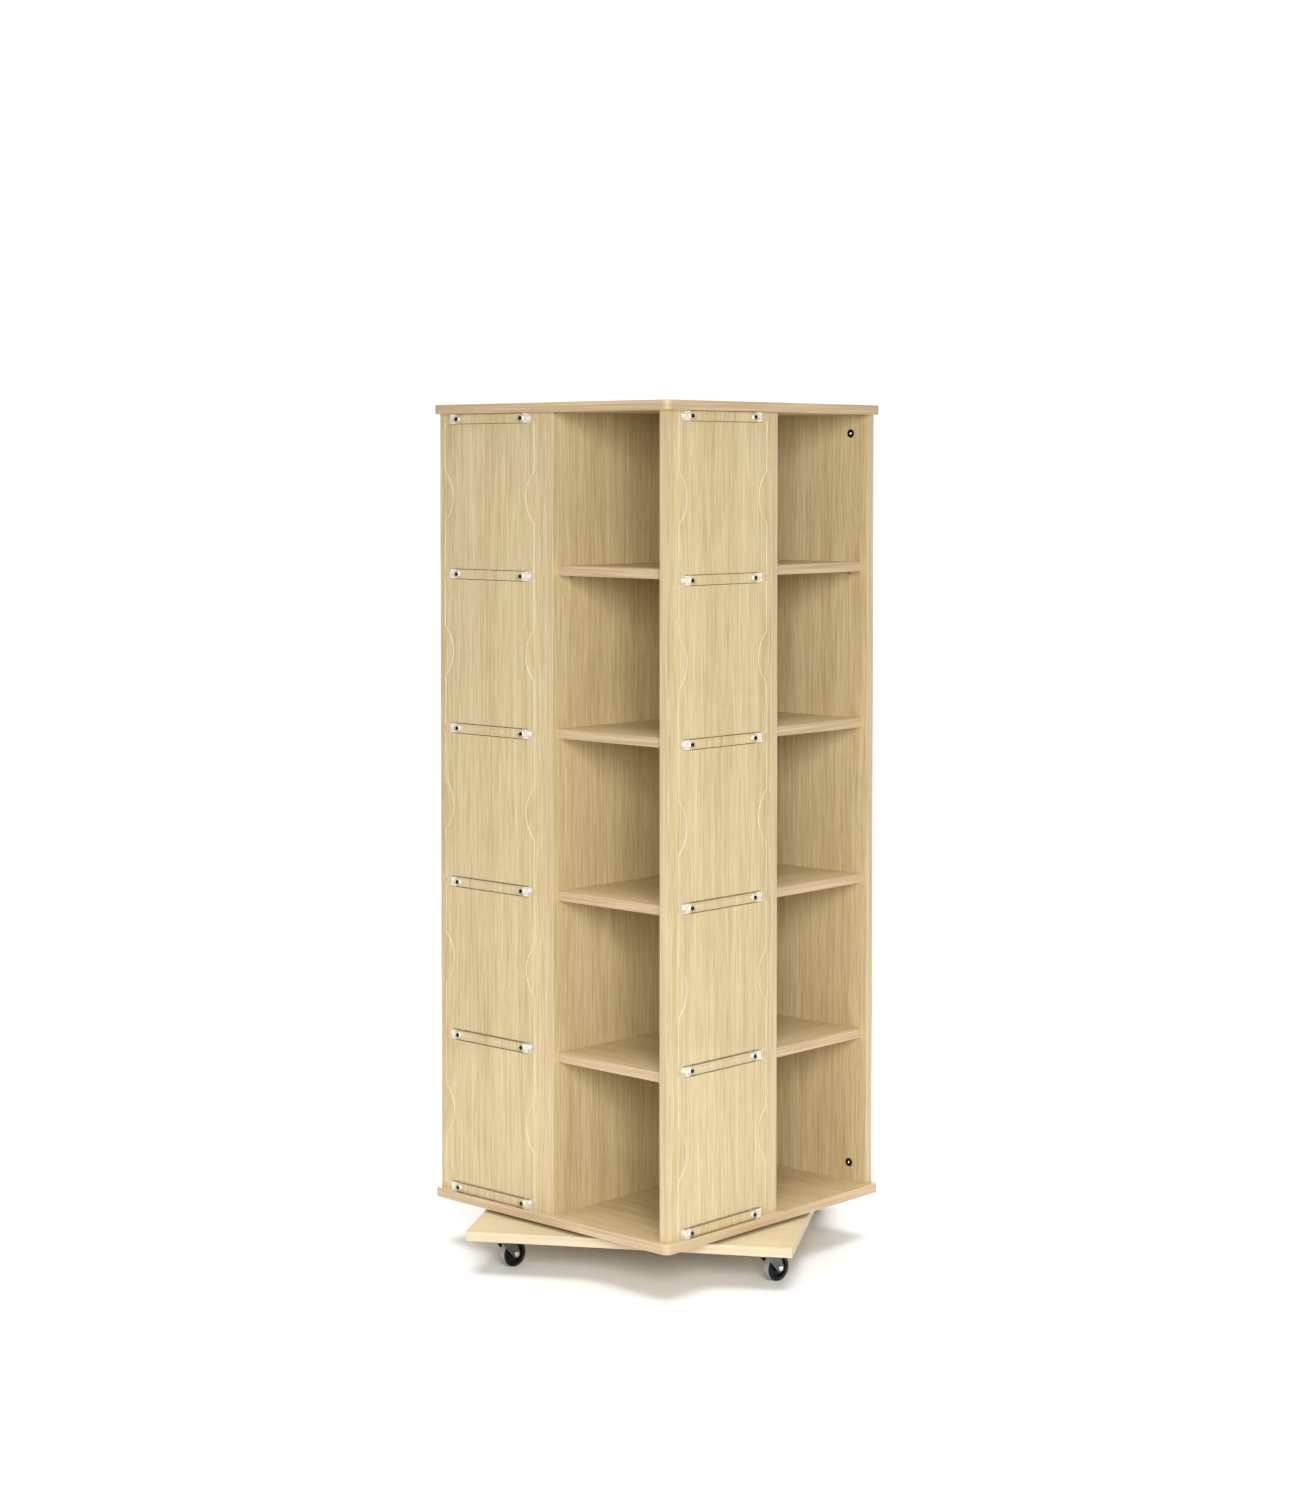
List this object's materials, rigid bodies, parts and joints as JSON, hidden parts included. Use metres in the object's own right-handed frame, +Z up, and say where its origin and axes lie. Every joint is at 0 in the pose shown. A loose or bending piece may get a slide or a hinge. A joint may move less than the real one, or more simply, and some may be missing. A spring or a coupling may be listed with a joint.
{
  "type": "revolving folded garment display tower",
  "caption": "Square revolving tower with open shelf bays and clear display plates on every side, on a turntable and a castered base board.",
  "frame": {"origin": "on the floor under the middle of the whole object, on the tower's turning axis", "axes": "+Z up along the turning axis; the tower's faces are square to X and Y, and the front face looks along -Y"},
  "size_m": [0.839, 0.839, 1.616],
  "materials": {
    "maple_laminate": "satin light maple laminate, vertical grain",
    "clear_acrylic": "clear polished acrylic",
    "polished_metal": "bright nickel-plated",
    "black_oxide_steel": "glossy black oxide",
    "zinc_steel": "zinc-plated pressed steel",
    "black_plastic": "satin moulded plastic",
    "dark_rubber": "matt moulded tread",
    "birch_dowel": "plain fluted birch"
  },
  "bodies": {
    "base": {"base_board": "maple_laminate", "turntable_lower_plate": "zinc_steel", "turntable_lower_screws": "zinc_steel", "turntable_balls": "zinc_steel", "turntable_ball_cage": "black_plastic", "caster_screws": "zinc_steel", "caster_kingpins": "zinc_steel", "caster_swivel_balls": "zinc_steel", "caster_plate_1": "zinc_steel", "caster_plate_2": "zinc_steel", "caster_plate_3": "zinc_steel", "caster_plate_4": "zinc_steel"},
    "tower": {"bottom_board": "maple_laminate", "top_board": "maple_laminate", "centre_panel": "maple_laminate", "divider_front": "maple_laminate", "divider_back": "maple_laminate", "bar_bushes": "polished_metal", "bar_screws": "black_oxide_steel", "shelf_pins": "polished_metal", "cam_locks": "polished_metal", "cam_collars": "black_plastic", "cam_bolts": "zinc_steel", "panel_dowels": "birch_dowel", "turntable_upper_plate": "zinc_steel", "turntable_upper_screws": "zinc_steel", "side_panel_front": "maple_laminate", "side_panel_right": "maple_laminate", "side_panel_back": "maple_laminate", "side_panel_left": "maple_laminate", "shelves_front": "maple_laminate", "shelves_right": "maple_laminate", "shelves_back": "maple_laminate", "shelves_left": "maple_laminate", "display_plates_front": "clear_acrylic", "display_plates_right": "clear_acrylic", "display_plates_back": "clear_acrylic", "display_plates_left": "clear_acrylic", "plate_bars_front": "clear_acrylic", "plate_bars_right": "clear_acrylic", "plate_bars_back": "clear_acrylic", "plate_bars_left": "clear_acrylic"},
    "caster_1": {"caster_fork_1": "zinc_steel", "caster_axle_1": "zinc_steel"},
    "wheel_1": {"wheel_core_1": "black_plastic", "wheel_tread_1": "dark_rubber"},
    "caster_2": {"caster_fork_2": "zinc_steel", "caster_axle_2": "zinc_steel"},
    "wheel_2": {"wheel_core_2": "black_plastic", "wheel_tread_2": "dark_rubber"},
    "caster_3": {"caster_fork_3": "zinc_steel", "caster_axle_3": "zinc_steel"},
    "wheel_3": {"wheel_core_3": "black_plastic", "wheel_tread_3": "dark_rubber"},
    "caster_4": {"caster_fork_4": "zinc_steel", "caster_axle_4": "zinc_steel"},
    "wheel_4": {"wheel_core_4": "black_plastic", "wheel_tread_4": "dark_rubber"}
  },
  "joints": [
    {"name": "tower_turn", "type": "hinge", "parent": "base", "child": "tower", "pos_m": [0, 0, 0.084], "axis": [0, 0, 1], "continuous": true},
    {"name": "caster_1_swivel", "type": "hinge", "parent": "base", "child": "caster_1", "pos_m": [0.07802, 0.34339, 0.0565], "axis": [0, 0, 1], "continuous": true},
    {"name": "wheel_1_spin", "type": "hinge", "parent": "caster_1", "child": "wheel_1", "pos_m": [0.08136, 0.36716, 0.025], "axis": [-0.9903, 0.1392, 0], "continuous": true},
    {"name": "caster_2_swivel", "type": "hinge", "parent": "base", "child": "caster_2", "pos_m": [-0.34339, 0.07802, 0.0565], "axis": [0, 0, 1], "continuous": true},
    {"name": "wheel_2_spin", "type": "hinge", "parent": "caster_2", "child": "wheel_2", "pos_m": [-0.34005, 0.10178, 0.025], "axis": [-0.9903, 0.1392, 0], "continuous": true},
    {"name": "caster_3_swivel", "type": "hinge", "parent": "base", "child": "caster_3", "pos_m": [-0.07802, -0.34339, 0.0565], "axis": [0, 0, 1], "continuous": true},
    {"name": "wheel_3_spin", "type": "hinge", "parent": "caster_3", "child": "wheel_3", "pos_m": [-0.07468, -0.31962, 0.025], "axis": [-0.9903, 0.1392, 0], "continuous": true},
    {"name": "caster_4_swivel", "type": "hinge", "parent": "base", "child": "caster_4", "pos_m": [0.34339, -0.07802, 0.0565], "axis": [0, 0, 1], "continuous": true},
    {"name": "wheel_4_spin", "type": "hinge", "parent": "caster_4", "child": "wheel_4", "pos_m": [0.34673, -0.05425, 0.025], "axis": [-0.9903, 0.1392, 0], "continuous": true}
  ]
}
